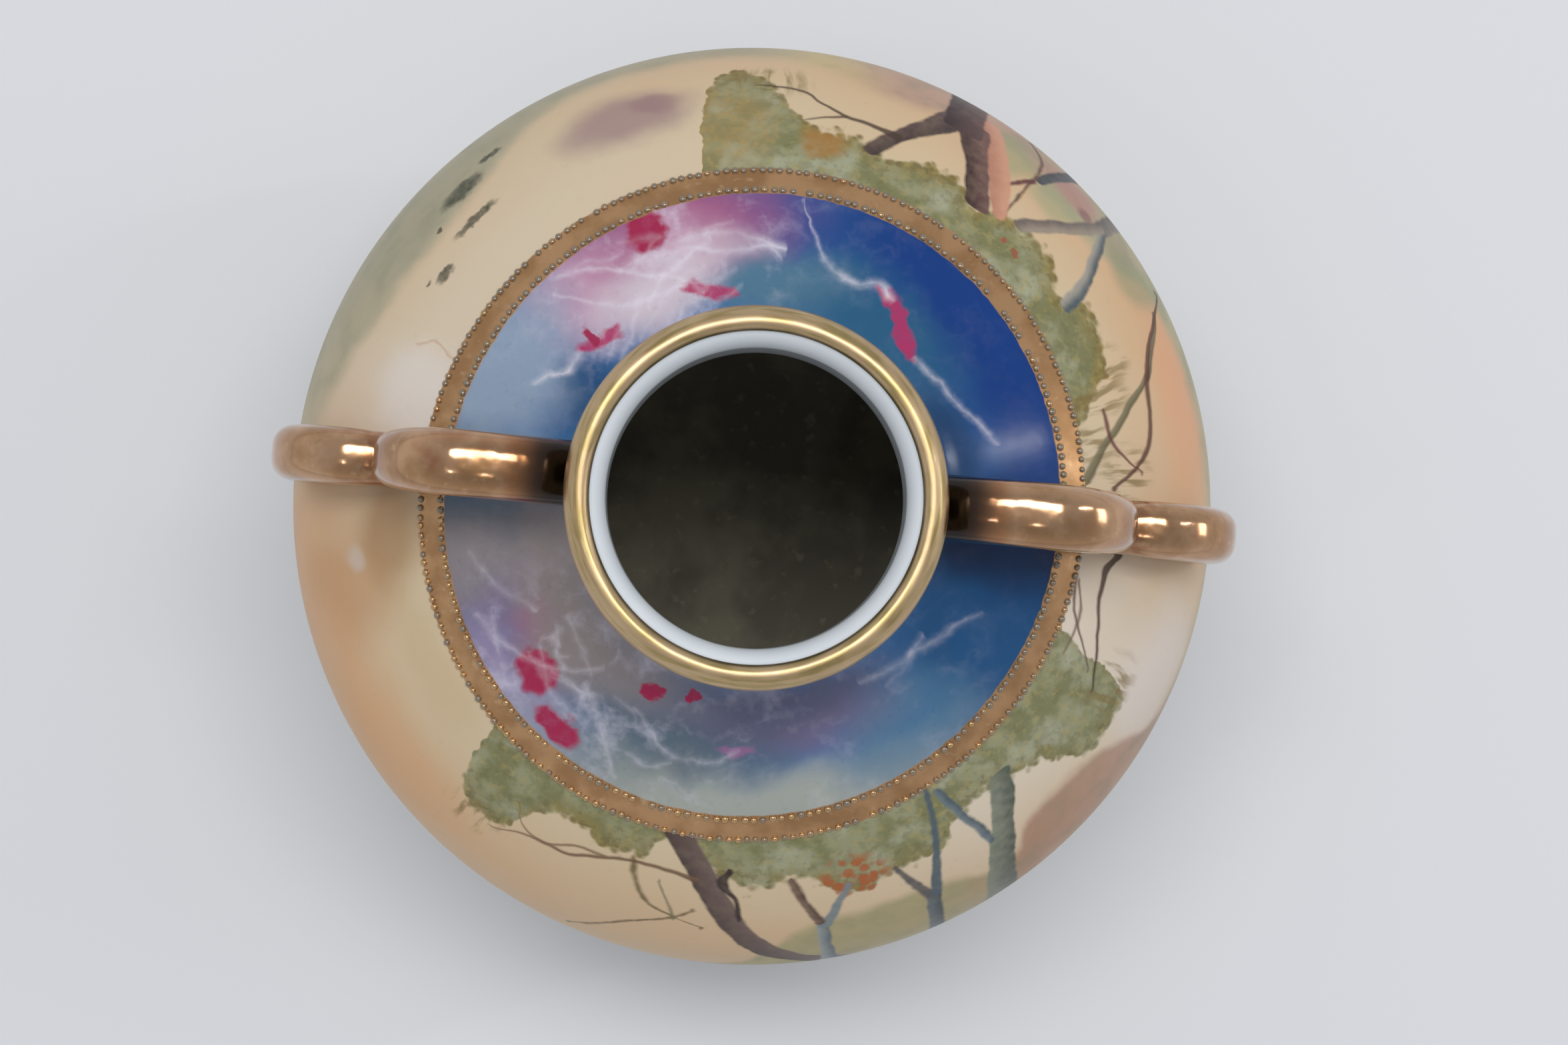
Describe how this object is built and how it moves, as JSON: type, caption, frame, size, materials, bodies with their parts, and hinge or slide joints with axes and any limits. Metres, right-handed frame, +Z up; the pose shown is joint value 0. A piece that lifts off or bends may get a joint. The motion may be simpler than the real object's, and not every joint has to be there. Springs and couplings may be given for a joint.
{
  "type": "two-handled porcelain vase",
  "caption": "Round-bodied painted porcelain vase with a gilt lip, a beaded gilt band round its shoulder and an ear handle on each side of its neck.",
  "frame": {"origin": "centre of the underside, on the vase's turning axis, in the plane that its foot ring stands on", "axes": "+Z up out of the mouth, +X through the middle of one handle, +Y towards the side between the handles"},
  "size_m": [0.1306, 0.13, 0.121],
  "materials": {
    "painted_porcelain": "soft satin enamel painting over glaze",
    "gilding": "fired gold, glossy on the lip and handles and worn matt on the bands",
    "enamel_beads": "raised enamel dots, partly gilt and rubbed"
  },
  "bodies": {
    "root": {"vase": "painted_porcelain"}
  },
  "joints": []
}
